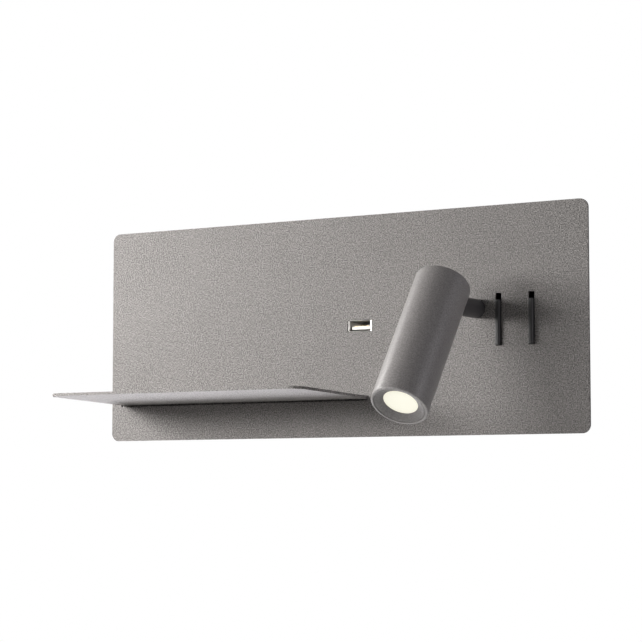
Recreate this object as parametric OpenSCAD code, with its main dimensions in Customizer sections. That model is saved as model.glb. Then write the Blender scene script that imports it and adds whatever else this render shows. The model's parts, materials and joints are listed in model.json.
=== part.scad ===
// Wall light with a phone shelf, a USB socket and a tube-shaped reading head.
// Millimetres. The wall is the plane Y = 0, the room lies towards -Y, +X is right along the wall and
// +Z is up. The origin is the centre of the wall bracket's back face.

/* [Panel] */
// Width of the front panel
panel_w = 298; // [290:1:320]
// Height of the front panel
panel_h = 120; // [116:1:136]
// Thickness of the panel's sheet
sheet_t = 1.5; // [1.2:0.1:2]
// Corner radius of the panel
panel_corner_r = 4.5; // [2:0.5:8]

/* [Housing] */
// Distance from the wall to the back of the panel
wall_gap = 26.5; // [26.5:0.5:32]
// Distance of the housing's side walls from the panel's edges
housing_inset = 23; // [21:1:24]
// Height of the rear housing
housing_h = 68; // [67:0.5:70]
// Thickness of the housing's sheet
housing_wall = 1.2; // [1:0.1:1.5]
// Outer corner radius of the housing
housing_corner_r = 3; // [2:0.5:4]
// Height of the lip that is nutted to the panel
lip_h = 8; // [7:0.5:9]
// Gap between the housing's rim and the wall
rim_gap = 0.5; // [0.3:0.1:1]

/* [Wall bracket] */
// Width of the wall bracket
bracket_w = 180; // [160:1:180]
// Thickness of the bracket's sheet
bracket_t = 1.5; // [1.2:0.1:2]
// Depth of the bracket's tabs from the wall
tab_depth = 14; // [12:0.5:16]
// Distance between the wall screws, sideways
wall_screw_x = 120; // [100:1:120]
// Distance between the wall screws, upwards
wall_screw_z = 36; // [30:1:40]
// Width of the slots for the wall screws
wall_slot_w = 5.2; // [4.5:0.1:6]
// Length of the slots for the wall screws
wall_slot_len = 12; // [9:0.5:14]
// Bore of the cable grommet
grommet_bore = 8.4; // [7:0.2:9]

/* [Shelf] */
// Width of the phone shelf
shelf_w = 162; // [150:1:164]
// Depth of the phone shelf in front of the panel
shelf_depth = 70; // [55:1:85]
// Thickness of the shelf's sheet
shelf_t = 1.5; // [1.2:0.1:2]
// Upward tilt of the shelf towards its front edge
shelf_tilt = 1.9; // [0:0.1:3]
// Distance of the shelf's left end from the panel's left edge
shelf_edge = 6.8; // [4:0.2:9]
// Distance of the shelf's underside below the panel's middle
shelf_drop = 39.4; // [39.2:0.2:41]
// Corner radius of the shelf
shelf_corner_r = 8; // [2:0.5:10]
// Height of the flange behind the panel
shelf_flange_h = 14; // [12:0.5:15]
// Inner radius of the bend between shelf and flange
shelf_bend_r = 1; // [0.8:0.1:1.5]

/* [Socket] */
// Distance of the socket from the panel's middle, to the right
usb_x = 15.4; // [15:0.2:17]
// Width of the hole in the panel for the socket
usb_cut_w = 15.2; // [14.2:0.1:16]
// Height of the hole in the panel for the socket
usb_cut_h = 6.6; // [6.4:0.1:8]
// Outer width of the socket's metal shell
usb_shell_w = 13.2; // [13:0.1:13.4]
// Outer height of the socket's metal shell
usb_shell_h = 5.8; // [5.6:0.1:6]
// Depth of the metal shell
usb_shell_d = 14; // [13:0.5:15]

/* [Switches] */
// Distance of the right slide bar from the panel's right edge
switch_edge = 31.8; // [30.5:0.1:32]
// Distance between the two slide bars
switch_pitch = 18.9; // [18.8:0.1:19.4]
// Width of the slots in the panel
slot_w = 3.4; // [3:0.1:3.6]
// Height of the slots in the panel
slot_h = 27.6; // [26:0.2:28.4]
// Height of a slide bar
bar_h = 23.6; // [22:0.2:24]
// How far a slide bar stands out of the panel
bar_out = 2; // [1:0.1:4]

/* [Stem] */
// Distance of the stem from the panel's right edge
stem_edge = 63.3; // [63:0.1:64.5]
// Height of the stem above the panel's middle
stem_z = 6; // [0:0.5:10]
// Diameter of the stem
stem_d = 10; // [9:0.5:11]
// Length of the round part of the stem in front of the panel
stem_len = 23.2; // [18:0.1:25]
// Thickness of the flattened end that enters the head
blade_t = 5; // [4:0.5:5.5]
// Diameter of the threaded shank behind the stem
shank_d = 8; // [7:0.5:8]
// Bore of the stem for the leads
stem_bore = 4.4; // [3.6:0.2:4.8]
// Half of the swivel travel that the stop washer allows
swivel_limit = 160; // [120:5:160]

/* [Reading head] */
// Outer diameter of the head
head_d = 29; // [28:0.5:32]
// Length of the head
head_len = 79.5; // [75:0.5:90]
// Wall of the head's tube
head_wall = 1.3; // [1:0.1:1.6]
// Tilt of the head from hanging straight down
head_tilt = 36.4; // [0:0.2:89]
// Distance of the tilt pin from the panel's front
pivot_out = 45.4; // [44:0.2:50]
// Distance of the tilt pin from the head's rear end
pivot_back = 12; // [10.5:0.5:13]
// Diameter of the tilt pin
tilt_pin_d = 3; // [2.5:0.5:4]
// Diameter of the lens that shows
lens_d = 17.6; // [16:0.2:20]
// Depth of the lens behind the head's front rim
lens_recess = 2.8; // [2.4:0.1:4]

/* [Backlight] */
// Distance of each light strip's ends from the ends of the housing
strip_inset = 18; // [15:3:36]
// Width of each light strip
strip_w = 8; // [6:0.5:8]
// Height of the diffusers over the strips
diffuser_h = 4; // [3:0.5:4.5]

/* [Hidden] */
$fn = 64;

// Clearances that the fits share
run_gap = 0.05;
loose_gap = 0.3;
seat_gap = 0.02;

// Planes of the panel
back_y = -wall_gap;
front_y = back_y - sheet_t;

// Fasteners: a thread's radius, a nut's width across its flats and its height
m3_r = 1.5;
m3_nut_w = 5.5;
m3_nut_h = 2.4;
m2_r = 1;
m2_nut_w = 4;
m2_nut_h = 1.6;
m3_hole_r = 1.7;
stud_len = 5;

// Housing
housing_w = panel_w - 2 * housing_inset;
housing_in_w = housing_w - 2 * housing_wall;
housing_in_h = housing_h - 2 * housing_wall;
lip_z = housing_in_h / 2 - (lip_h - housing_wall) / 2;
housing_stud_x = housing_w / 2 - 14;
housing_stud_xs = [-housing_stud_x, -housing_stud_x / 3, housing_stud_x / 3, housing_stud_x];

// Bracket: its tabs lie inside the housing's upper and lower walls
tab_out_z = housing_in_h / 2 - loose_gap;
tab_w = 20;
tab_x = 70;
bracket_screw_r = 2;
bracket_screw_y = -7.5;
bracket_screw_head_r = 3.5;
bracket_screw_head_h = 2.3;
cable_x = 66;
cable_z = -3;
grommet_wall = 2.6;
grommet_r = grommet_bore / 2 + grommet_wall;
grommet_flange = 1.8;
grommet_flange_t = 2;

// Shelf: a level neck in the slot joins the tilted sheet in front and the bend behind
shelf_x = shelf_edge + (shelf_w - panel_w) / 2;
shelf_neck = 0.5;
bend_y = back_y - shelf_bend_r;
bend_z = -shelf_drop - shelf_bend_r;
bend_out_r = shelf_bend_r + shelf_t;
flange_low_z = -shelf_drop - shelf_flange_h;
shelf_stud_z = (bend_z + flange_low_z) / 2;
shelf_stud_inset = 20;
shelf_stud_x = shelf_w / 2 - shelf_stud_inset;
shelf_stud_xs = [shelf_x - shelf_stud_x, shelf_x, shelf_x + shelf_stud_x];
shelf_slot_top = -shelf_drop + shelf_t + loose_gap;
shelf_slot_bottom = bend_z - 0.1;

// Charger module
usb_case_w = 32;
usb_case_h = 14;
usb_case_d = 20.5;
usb_wall = 1.2;
usb_ear = 7;
usb_ear_t = 2;
usb_ear_h = 10;
usb_shell_t = 0.35;
usb_shell_set_back = 0.3;
usb_tongue_w = 11.2;
usb_tongue_h = 1.84;
usb_tongue_low = -1.95;
usb_board_t = 1.2;
usb_board_top = -usb_shell_h / 2;
usb_rail_top = usb_board_top - usb_board_t;
usb_rail_w = 2.5;
usb_rail_x = usb_case_w / 2 - usb_wall / 2 - usb_rail_w / 2;
usb_rail_low = -usb_case_h / 2 + usb_wall / 2;
usb_tongue_front = front_y + usb_shell_set_back + 1.1;
usb_tongue_back = front_y + usb_shell_set_back + usb_shell_d - usb_shell_t;
usb_stud_xs = [usb_x - usb_case_w / 2 - usb_ear / 2, usb_x + usb_case_w / 2 + usb_ear / 2];

// Driver: it fills the room between the housing's left wall and the charger
driver_ear = 8;
driver_ear_t = 2;
driver_gap = 4.6;
driver_room = usb_x - usb_case_w / 2 - usb_ear + housing_in_w / 2;
driver_w = driver_room - 2 * (driver_ear + driver_gap);
driver_x = driver_gap + driver_ear + (driver_w - housing_in_w) / 2;
driver_h = 34;
driver_split = 11;
driver_depth = 20;
driver_wall = 1.2;
driver_board_y = 5;
board_t = 1.6;
driver_right = driver_x + driver_w / 2;
driver_stud_xs = [driver_x - driver_w / 2 - driver_ear / 2, driver_right + driver_ear / 2];

// Terminal block: it stands below the lane of the mains leads
block_x = 58;
block_w = 28;
block_h = 11;
block_gap = 1.7;
block_d = 11;
block_ear = 7;
block_ear_t = 2;
pole_pitch = 9;
pole_y = 6.5;
pole_r = 1.2;
pole_screw_r = 1.2;
pole_xs = [block_x - pole_pitch, block_x, block_x + pole_pitch];
pole_screw_at = 3;
mains_lane_z = -usb_case_h / 2 - 2.6;
block_z = mains_lane_z - block_gap - block_h / 2;
pole_screw_zs = [block_z - pole_screw_at, block_z + pole_screw_at];
block_stud_xs = [block_x - block_w / 2 - block_ear / 2, block_x + block_w / 2 + block_ear / 2];

// Leads
lead_r = 0.8;
head_lead_r = 0.7;
head_lane_z = usb_case_h / 2 + 3;
switch_lane_zs = [4.8 - housing_in_h / 2, 2.3 - housing_in_h / 2];
usb_lead_y = 14.5;
usb_lead_zs = [-0.5, 3];
lead_hole_r = lead_r + 0.3;
lead_grip = 4;
mains_ys = [pole_y, pole_y + 2.7];
head_lead_ys = [14.5, 17];

// Switches, measured from the panel's back. A bar with a broader foot behind the panel slides up and
// down; a bridge of copper strip on the foot joins the lower or the upper two of three contacts.
switch_xs = [panel_w / 2 - switch_edge - switch_pitch, panel_w / 2 - switch_edge];
sw_wall = 1;
sw_room_h = slot_h + 0.8;
sw_h = sw_room_h + 2 * sw_wall;
sw_depth = 11;
sw_ear_h = 5.5;
sw_ear_t = 1.6;
sw_flange_h = sw_h + 2 * sw_ear_h;
sw_stud_z = sw_h / 2 + sw_ear_h / 2;
bar_t = slot_w - 2 * loose_gap;
bar_r = 1;
bar_travel = slot_h - bar_h - 2 * loose_gap;
bar_low = loose_gap - slot_h / 2;
bar_z = bar_low + bar_h / 2;
foot_w = bar_t + 2.2;
foot_h = 18;
foot_t = 4;
foot_back = loose_gap + foot_t;
sw_w = foot_w + 2 * (loose_gap + sw_wall);
bridge_w = 3.4;
bridge_t = 0.5;
bridge_seat = 0.3;
bridge_back = foot_back + bridge_t - bridge_seat;
contact_w = 3;
contact_t = 0.8;
contact_end = 15;
contact_pitch = bar_travel;
bridge_h = contact_pitch + contact_t + 0.4;
contact_zs = [-contact_pitch, 0, contact_pitch];

// Stem and swivel
stem_x = panel_w / 2 - stem_edge;
stem_r = stem_d / 2;
shank_r = shank_d / 2;
pivot_y = front_y - pivot_out;
stem_washer_t = 0.5;
stem_base_y = front_y - stem_washer_t;
stem_shoulder_y = front_y - stem_len;
shank_end = 11;
bush_flange_t = 1;
bush_flange_r = 7;
stop_washer_t = 1.2;
stop_washer_y = back_y + bush_flange_t + run_gap;
stop_washer_r = 7;
stop_tab_r = 8.2;
stop_pin_r = 0.7;
stop_pin_at = 8;
stop_slack = 1;
stop_angle = 180 - swivel_limit - stop_slack - asin(stop_pin_r / stop_pin_at);
stop_tab_w = 2 * stop_pin_at * sin(stop_angle);
wave_t = 1;
wave_y = stop_washer_y + stop_washer_t;
swivel_nut_w = 13;
swivel_nut_h = 5;
swivel_nut_y = wave_y + wave_t;
blade_bore_r = 1.5;
lead_exit_y = pivot_y + 8.3;

// Head, in its own frame: the tilt pin is the origin, the light leaves towards -Z, +Y faces the wall
head_r = head_d / 2;
tube_in_r = head_r - head_wall;
fill_r = tube_in_r - run_gap;
head_rear = pivot_back;
head_front = pivot_back - head_len;
cap_t = 1.5;
blade_flat = sqrt(pow(stem_r, 2) - pow(blade_t / 2, 2));
slot_half = blade_t / 2 + 0.4;
slot_end_z = sqrt(pow(slot_half, 2) - pow(blade_t / 2, 2)) - blade_flat - 0.4;
tilt_washer_t = 0.6;
fork_half = blade_t / 2 + tilt_washer_t + 0.1;
eye_room = stem_r + 1;
carrier_rear = head_rear - cap_t;
carrier_front = -14;
carrier_screw_zs = [carrier_front + 4.5, tilt_pin_d / 2 + 1];
carrier_screw_turn = 60;
carrier_screw_len = 4.8;
cap_screw_x = 8.5;
lead_bore_y = -9.5;
lead_bore_r = 1.9;
tilt_pin_r = tilt_pin_d / 2;
lens_front = head_front + lens_recess;
lens_t = 1.4;
lens_r = lens_d / 2 + 1.6;
lens_rear = lens_front + lens_t;
reflector_room = 12.4;
sink_front = lens_rear + reflector_room;
sink_len = 14;
led_board_r = 10;
chip_r = 4.5;
chip_t = 0.9;
reflector_flange_t = 1.1;
reflector_wall = 0.8;
baffle_set_back = 0.3;

// Backlight strips on the housing's upper and lower walls
strip_len = housing_w - 2 * strip_inset;
strip_t = 0.3;
strip_back = 3.5;
strip_y = back_y + strip_back;
led_pitch = 18;
led_size = 3;
led_h = 1;
diffuser_wall = 1;
diffuser_y = back_y + 2;
diffuser_d = 12.6;
diffuser_len = strip_len + 4;
strip_lead_x = driver_x + 16;
strip_lead_y = 12.6;

module round_rect(w, h, r) {
    square([w - 2 * r, h], center = true);
    square([w, h - 2 * r], center = true);
    for (sx = [-1, 1], sy = [-1, 1])
        translate([sx * (w / 2 - r), sy * (h / 2 - r)])
            circle(r = r);
}

// An XZ outline as a plate from y to y + t
module slab(y, t) {
    translate([0, y + t, 0])
        rotate([90, 0, 0])
            linear_extrude(t)
                children();
}

module round_slot(length, r) {
    square([length - 2 * r, 2 * r], center = true);
    for (s = [-1, 1])
        translate([s * (length / 2 - r), 0])
            circle(r = r);
}

module rod_x(x, y, z, len, r) {
    translate([x, y, z])
        rotate([0, 90, 0])
            cylinder(h = len, r = r);
}

module rod_y(x, y, z, len, r) {
    translate([x, y, z])
        rotate([-90, 0, 0])
            cylinder(h = len, r = r);
}

module rod_z(x, y, z, len, r) {
    translate([x, y, z])
        cylinder(h = len, r = r);
}

module box_between(low, high) {
    translate(low)
        cube(high - low);
}

module ring_y(x, y, z, len, r_out, r_in) {
    difference() {
        rod_y(x, y, z, len, r_out);
        rod_y(x, y - 1, z, len + 2, r_in);
    }
}

module nut_y(x, y, z, width, height, bore_r) {
    translate([x, y, z])
        rotate([-90, 0, 0])
            difference() {
                cylinder(h = height, r = width / 2 / cos(30), $fn = 6);
                translate([0, 0, -1])
                    cylinder(h = height + 2, r = bore_r);
            }
}

// A lead along a list of points, round at its corners
module lead(points, r) {
    for (i = [0 : len(points) - 2]) {
        step = points[i + 1] - points[i];
        run = norm(step);
        translate(points[i])
            rotate([0, acos(step[2] / run), atan2(step[1], step[0])])
                cylinder(h = run, r = r);
        if (i > 0)
            translate(points[i])
                sphere(r = r);
    }
}

function from_panel(p) = [p[0], back_y + p[1], p[2]];
function lane(points) = [for (p = points) from_panel(p)];

module front_panel() {
    color("#7d7a79")
        slab(front_y, sheet_t)
            difference() {
                round_rect(panel_w, panel_h, panel_corner_r);
                translate([usb_x, 0])
                    round_rect(usb_cut_w, usb_cut_h, 0.6);
                for (x = switch_xs)
                    translate([x, 0])
                        round_rect(slot_w, slot_h, 0.4);
                translate([stem_x, stem_z])
                    circle(r = stem_r + seat_gap);
                translate([shelf_x, (shelf_slot_top + shelf_slot_bottom) / 2])
                    square([shelf_w + 2 * loose_gap, shelf_slot_top - shelf_slot_bottom], center = true);
            }
}

module stud(x, z, r) {
    rod_y(x, back_y, z, stud_len, r);
}

module panel_studs() {
    color("#b8b8b4") {
        for (x = housing_stud_xs, s = [-1, 1])
            stud(x, s * lip_z, m3_r);
        for (x = shelf_stud_xs)
            stud(x, shelf_stud_z, m3_r);
        for (x = driver_stud_xs)
            stud(x, 0, m3_r);
        for (x = usb_stud_xs)
            stud(x, 0, m3_r);
        for (x = block_stud_xs)
            stud(x, block_z, m3_r);
        for (x = switch_xs, s = [-1, 1])
            stud(x, s * sw_stud_z, m2_r);
    }
}

// All that lies below and in front of the sheet's surface at distance r from the bend's centre, seen
// along X: the tilted sheet, its level neck, the bend and the flange
module under_sheet(r, reach, drop) {
    neck_end = [front_y - shelf_neck - bend_y + (r - shelf_bend_r) * tan(shelf_tilt / 2), r];
    sheet_end = neck_end + reach * [-cos(shelf_tilt), sin(shelf_tilt)];
    polygon([[0, r], neck_end, sheet_end, [sheet_end[0], -drop], [0, -drop]]);
    circle(r = r);
    translate([0, -drop])
        square([r, drop]);
}

module shelf_profile() {
    reach = shelf_depth + 10;
    drop = bend_z - flange_low_z;
    difference() {
        under_sheet(bend_out_r, reach, drop);
        under_sheet(shelf_bend_r, reach + 1, drop + 1);
    }
}

// The shelf's outline from above: the front corners are round
module shelf_plan() {
    shelf_front_y = front_y - shelf_depth;
    inner_w = shelf_w - 2 * shelf_corner_r;
    translate([shelf_x - shelf_w / 2, shelf_front_y + shelf_corner_r])
        square([shelf_w, shelf_depth + wall_gap]);
    translate([shelf_x - inner_w / 2, shelf_front_y])
        square([inner_w, shelf_corner_r + 1]);
    for (s = [-1, 1])
        translate([shelf_x + s * inner_w / 2, shelf_front_y + shelf_corner_r])
            circle(r = shelf_corner_r);
}

module phone_shelf() {
    color("#85817f")
        difference() {
            intersection() {
                translate([shelf_x - shelf_w / 2, bend_y, bend_z])
                    rotate([90, 0, 90])
                        linear_extrude(shelf_w)
                            shelf_profile();
                translate([0, 0, flange_low_z - 1])
                    linear_extrude(shelf_flange_h + 20)
                        shelf_plan();
            }
            for (x = shelf_stud_xs)
                rod_y(x, back_y - 1, shelf_stud_z, shelf_t + 2, m3_hole_r);
        }
}

module shelf_nuts() {
    color("#c4c4c0")
        for (x = shelf_stud_xs)
            nut_y(x, back_y + shelf_t, shelf_stud_z, m3_nut_w, m3_nut_h, m3_r + seat_gap);
}

// A folded ring, open to the wall, with a lip along its upper and lower edge behind the panel
module rear_housing() {
    lip_w = housing_w - 2 * housing_corner_r - 4;
    color("#6e6c6c")
        difference() {
            union() {
                slab(back_y, wall_gap - rim_gap)
                    difference() {
                        round_rect(housing_w, housing_h, housing_corner_r);
                        round_rect(housing_in_w, housing_in_h, housing_corner_r - housing_wall);
                    }
                slab(back_y, housing_wall)
                    difference() {
                        square([lip_w, housing_h - housing_wall], center = true);
                        square([lip_w + 2, housing_h - 2 * lip_h], center = true);
                    }
            }
            for (x = housing_stud_xs, s = [-1, 1])
                rod_y(x, back_y - 1, s * lip_z, housing_wall + 2, m3_hole_r);
            for (x = [-tab_x, tab_x])
                rod_z(x, bracket_screw_y, -housing_h / 2 - 1, housing_h + 2, bracket_screw_r + 0.2);
            rod_z(strip_lead_x, back_y + strip_lead_y, -housing_h / 2 - 1, housing_h + 2, lead_r + 0.4);
        }
}

module housing_nuts() {
    color("#c4c4c0")
        for (x = housing_stud_xs, s = [-1, 1])
            nut_y(x, back_y + housing_wall, s * lip_z, m3_nut_w, m3_nut_h, m3_r + seat_gap);
}

module wall_bracket() {
    tab_low = tab_out_z - bracket_t;
    color("#a9aaa8")
        difference() {
            union() {
                slab(-bracket_t, bracket_t)
                    square([bracket_w, 2 * tab_out_z], center = true);
                for (x = [-tab_x, tab_x], s = [-1, 1])
                    translate([x - tab_w / 2, -tab_depth, s > 0 ? tab_low : -tab_out_z])
                        cube([tab_w, tab_depth, bracket_t]);
            }
            slab(-bracket_t - 1, bracket_t + 2)
                for (x = [-1, 1], z = [-1, 1])
                    translate([x * wall_screw_x / 2, z * wall_screw_z / 2])
                        round_slot(wall_slot_len, wall_slot_w / 2);
            rod_y(cable_x, -bracket_t - 1, cable_z, bracket_t + 2, grommet_r);
            for (x = [-tab_x, tab_x])
                rod_z(x, bracket_screw_y, -tab_out_z - 1, 2 * tab_out_z + 2, bracket_screw_r + seat_gap);
        }
}

module bracket_screws() {
    shaft_low = tab_out_z - bracket_t - 2;
    color("#c4c4c0")
        for (x = [-tab_x, tab_x], s = [-1, 1])
            translate([x, bracket_screw_y, 0])
                rotate([s > 0 ? 0 : 180, 0, 0])
                    difference() {
                        union() {
                            translate([0, 0, shaft_low])
                                cylinder(h = housing_h / 2 - shaft_low, r = bracket_screw_r);
                            translate([0, 0, housing_h / 2])
                                cylinder(h = bracket_screw_head_h, r = bracket_screw_head_r);
                        }
                        translate([0, 0, housing_h / 2 + bracket_screw_head_h])
                            cube([0.8, 5, 2.4], center = true);
                        translate([0, 0, housing_h / 2 + bracket_screw_head_h])
                            cube([5, 0.8, 2.4], center = true);
                    }
}

module cable_grommet() {
    color("#262626")
        difference() {
            union() {
                rod_y(cable_x, -bracket_t, cable_z, bracket_t, grommet_r);
                rod_y(cable_x, -bracket_t - grommet_flange_t, cable_z, grommet_flange_t,
                    grommet_r + grommet_flange);
            }
            rod_y(cable_x, -bracket_t - grommet_flange_t - 1, cable_z, bracket_t + grommet_flange_t + 2,
                grommet_bore / 2);
        }
}

// A box from y0 to y1 behind the panel, hollow and open at one end
module tray(x, w, h, y0, y1, wall, floor_at_back) {
    translate([x, back_y, 0])
        difference() {
            box_between([-w / 2, y0, -h / 2], [w / 2, y1, h / 2]);
            box_between([wall - w / 2, floor_at_back ? y0 - 1 : y0 + wall, wall - h / 2],
                [w / 2 - wall, floor_at_back ? y1 - wall : y1 + 1, h / 2 - wall]);
        }
}

module driver_base() {
    post_x = driver_w / 2 - driver_wall - 3;
    post_z = driver_h / 2 - driver_wall - 3;
    color("#e4e3de")
        difference() {
            union() {
                tray(driver_x, driver_w, driver_h, 0, driver_split, driver_wall, false);
                for (sx = [-1, 1], sz = [-1, 1])
                    rod_y(driver_x + sx * post_x, back_y + driver_wall / 2, sz * post_z,
                        driver_board_y - driver_wall / 2, 2);
                for (x = driver_stud_xs)
                    translate([x - driver_ear / 2, back_y, -driver_ear / 2])
                        cube([driver_ear, driver_ear_t, driver_ear]);
            }
            for (x = driver_stud_xs)
                rod_y(x, back_y - 1, 0, driver_ear_t + 2, m3_hole_r);
            for (y = mains_ys)
                rod_x(driver_right - driver_wall - 1, back_y + y, mains_lane_z, driver_wall + 2, lead_hole_r);
        }
}

module driver_cover() {
    color("#e4e3de")
        difference() {
            tray(driver_x, driver_w, driver_h, driver_split, driver_depth, driver_wall, true);
            for (y = head_lead_ys)
                rod_x(driver_right - driver_wall - 1, back_y + y, head_lane_z, driver_wall + 2, lead_hole_r);
            for (z = usb_lead_zs)
                rod_x(driver_right - driver_wall - 1, back_y + usb_lead_y, z, driver_wall + 2, lead_hole_r);
            rod_z(strip_lead_x, back_y + strip_lead_y, -driver_h, 2 * driver_h, lead_hole_r);
        }
}

// The printed board of the driver with its soldered transformer, coil and capacitors
module driver_board() {
    board_w = driver_w - 2 * driver_wall - 1;
    board_h = driver_h - 2 * driver_wall - 1;
    top = driver_board_y + board_t;
    room = driver_depth - driver_wall - top;
    coil_r = 0.16 * board_h;
    color("#2f6b3c")
        translate([driver_x, back_y, 0]) {
            box_between([-board_w / 2, driver_board_y, -board_h / 2], [board_w / 2, top, board_h / 2]);
            box_between([-0.14 * board_w, top, -0.3 * board_h],
                [0.09 * board_w, top + 0.8 * room, 0.3 * board_h]);
            rod_x(-0.44 * board_w, top + coil_r - 0.2, 0.17 * board_h, 0.19 * board_w, coil_r);
            rod_y(-0.32 * board_w, top, -0.26 * board_h, 0.75 * room, coil_r);
            rod_y(0.32 * board_w, top, 0.17 * board_h, 0.75 * room, 0.8 * coil_r);
            box_between([0.25 * board_w, top, -0.4 * board_h],
                [0.38 * board_w, top + 0.3 * room, -0.16 * board_h]);
        }
}

module module_nuts() {
    color("#c4c4c0") {
        for (x = driver_stud_xs)
            nut_y(x, back_y + driver_ear_t, 0, m3_nut_w, m3_nut_h, m3_r + seat_gap);
        for (x = usb_stud_xs)
            nut_y(x, back_y + usb_ear_t, 0, m3_nut_w, m3_nut_h, m3_r + seat_gap);
        for (x = block_stud_xs)
            nut_y(x, back_y + block_ear_t, block_z, m3_nut_w, m3_nut_h, m3_r + seat_gap);
    }
}

module terminal_block() {
    color("#efece4")
        difference() {
            union() {
                box_between([block_x - block_w / 2, back_y, block_z - block_h / 2],
                    [block_x + block_w / 2, back_y + block_d, block_z + block_h / 2]);
                for (x = block_stud_xs)
                    box_between([x - block_ear / 2, back_y, block_z - 4.5],
                        [x + block_ear / 2, back_y + block_ear_t, block_z + 4.5]);
            }
            for (x = block_stud_xs)
                rod_y(x, back_y - 1, block_z, block_ear_t + 2, m3_hole_r);
            for (x = pole_xs)
                rod_z(x, back_y + pole_y, block_z - block_h, 2 * block_h, pole_r);
            for (x = pole_xs, z = pole_screw_zs)
                rod_y(x, back_y + pole_y, z, block_d, pole_screw_r + run_gap);
        }
}

module terminal_screws() {
    color("#c9a94e")
        for (x = pole_xs, z = pole_screw_zs)
            difference() {
                union() {
                    rod_y(x, back_y + pole_y + pole_r, z, block_d - pole_y - pole_r, pole_screw_r);
                    rod_y(x, back_y + block_d, z, 1, 1.9);
                }
                translate([x, back_y + block_d + 1, z])
                    cube([5, 1, 0.6], center = true);
            }
}

module usb_case() {
    color("#2c2c2e")
        difference() {
            union() {
                tray(usb_x, usb_case_w, usb_case_h, 0, usb_case_d, usb_wall, false);
                for (x = usb_stud_xs)
                    translate([x - usb_ear / 2, back_y, -usb_ear_h / 2])
                        cube([usb_ear, usb_ear_t, usb_ear_h]);
                for (s = [-1, 1])
                    translate([usb_x + s * usb_rail_x - usb_rail_w / 2, back_y + usb_wall / 2, usb_rail_low])
                        cube([usb_rail_w, usb_case_d - usb_wall, usb_rail_top - usb_rail_low]);
            }
            slab(back_y - 1, usb_wall + 2)
                translate([usb_x, 0])
                    square([usb_shell_w + 0.4, usb_shell_h + 0.4], center = true);
            for (x = usb_stud_xs)
                rod_y(x, back_y - 1, 0, usb_ear_t + 2, m3_hole_r);
            for (z = usb_lead_zs)
                rod_x(usb_x - usb_case_w / 2 - 1, back_y + usb_lead_y, z, usb_wall + 2, lead_hole_r);
        }
}

module usb_lid() {
    color("#2c2c2e")
        slab(back_y + usb_case_d, usb_wall)
            translate([usb_x, 0])
                round_rect(usb_case_w, usb_case_h, 0.5);
}

module usb_shell() {
    shell_front = front_y + usb_shell_set_back;
    color("#d9d9d6")
        difference() {
            slab(shell_front, usb_shell_d)
                translate([usb_x, 0])
                    round_rect(usb_shell_w, usb_shell_h, 0.7);
            slab(shell_front - 1, usb_shell_d + 1 - usb_shell_t)
                translate([usb_x, 0])
                    round_rect(usb_shell_w - 2 * usb_shell_t, usb_shell_h - 2 * usb_shell_t, 0.35);
        }
}

module usb_tongue() {
    color("#f4f3ee")
        box_between([usb_x - usb_tongue_w / 2, usb_tongue_front, usb_tongue_low],
            [usb_x + usb_tongue_w / 2, usb_tongue_back, usb_tongue_low + usb_tongue_h]);
}

module usb_contacts() {
    color("#d6b04a")
        for (dx = [-3.5, -1, 1, 3.5])
            box_between([usb_x + dx - 0.5, usb_tongue_front + 0.8, usb_tongue_low + usb_tongue_h],
                [usb_x + dx + 0.5, usb_tongue_back - 1.5, usb_tongue_low + usb_tongue_h + 0.2]);
}

// The printed board of the charger with its soldered coil, transformer and capacitor
module usb_board() {
    board_w = usb_case_w - 2 * usb_wall - 1.6;
    color("#2f6b3c")
        translate([usb_x, back_y, 0]) {
            box_between([-board_w / 2, usb_wall + 0.3, usb_rail_top],
                [board_w / 2, usb_case_d - 0.5, usb_board_top]);
            box_between([0.27 * board_w, 0.15 * usb_case_d, usb_board_top],
                [0.47 * board_w, 0.58 * usb_case_d, 0.3 * usb_case_h]);
            rod_z(0.35 * board_w, 0.78 * usb_case_d, usb_board_top, 0.5 * usb_case_h, 0.1 * board_w);
            box_between([-0.14 * board_w, 0.72 * usb_case_d, usb_board_top],
                [0.14 * board_w, 0.92 * usb_case_d, 0.1 * usb_case_h]);
        }
}

module switch_body(x) {
    color("#1d1d1f")
        translate([x, back_y, 0])
            difference() {
                union() {
                    box_between([-sw_w / 2, 0, -sw_h / 2], [sw_w / 2, sw_depth, sw_h / 2]);
                    box_between([-sw_w / 2, 0, -sw_flange_h / 2], [sw_w / 2, sw_ear_t, sw_flange_h / 2]);
                }
                box_between([sw_wall - sw_w / 2, -1, -sw_room_h / 2],
                    [sw_w / 2 - sw_wall, sw_depth - sw_wall, sw_room_h / 2]);
                for (s = [-1, 1])
                    rod_y(0, -1, s * sw_stud_z, sw_ear_t + 2, m2_r + 0.15);
                for (z = contact_zs)
                    box_between([-contact_w / 2 - run_gap, sw_depth - 2, z - contact_t / 2 - run_gap],
                        [contact_w / 2 + run_gap, sw_depth + 1, z + contact_t / 2 + run_gap]);
            }
}

// The bar that shows, at the lower end of its slot, on a foot that keeps it behind the panel
module switch_slider(x) {
    bar_front = -sheet_t - bar_out;
    color("#2b2b2c")
        translate([x, back_y, bar_z])
            difference() {
                union() {
                    translate([0, 0, -bar_h / 2])
                        linear_extrude(bar_h) {
                            translate([-bar_t / 2, bar_front + bar_r])
                                square([bar_t, loose_gap + 1 - bar_front - bar_r]);
                            translate([bar_r - bar_t / 2, bar_front])
                                square([bar_t - 2 * bar_r, bar_r + 1]);
                            for (s = [-1, 1])
                                translate([s * (bar_t / 2 - bar_r), bar_front + bar_r])
                                    circle(r = bar_r);
                        }
                    box_between([-foot_w / 2, loose_gap, -foot_h / 2], [foot_w / 2, foot_back, foot_h / 2]);
                }
                box_between([-bridge_w / 2 - seat_gap, foot_back - bridge_seat, -bridge_h / 2 - seat_gap],
                    [bridge_w / 2 + seat_gap, foot_back + 1, bridge_h / 2 + seat_gap]);
            }
}

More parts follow.
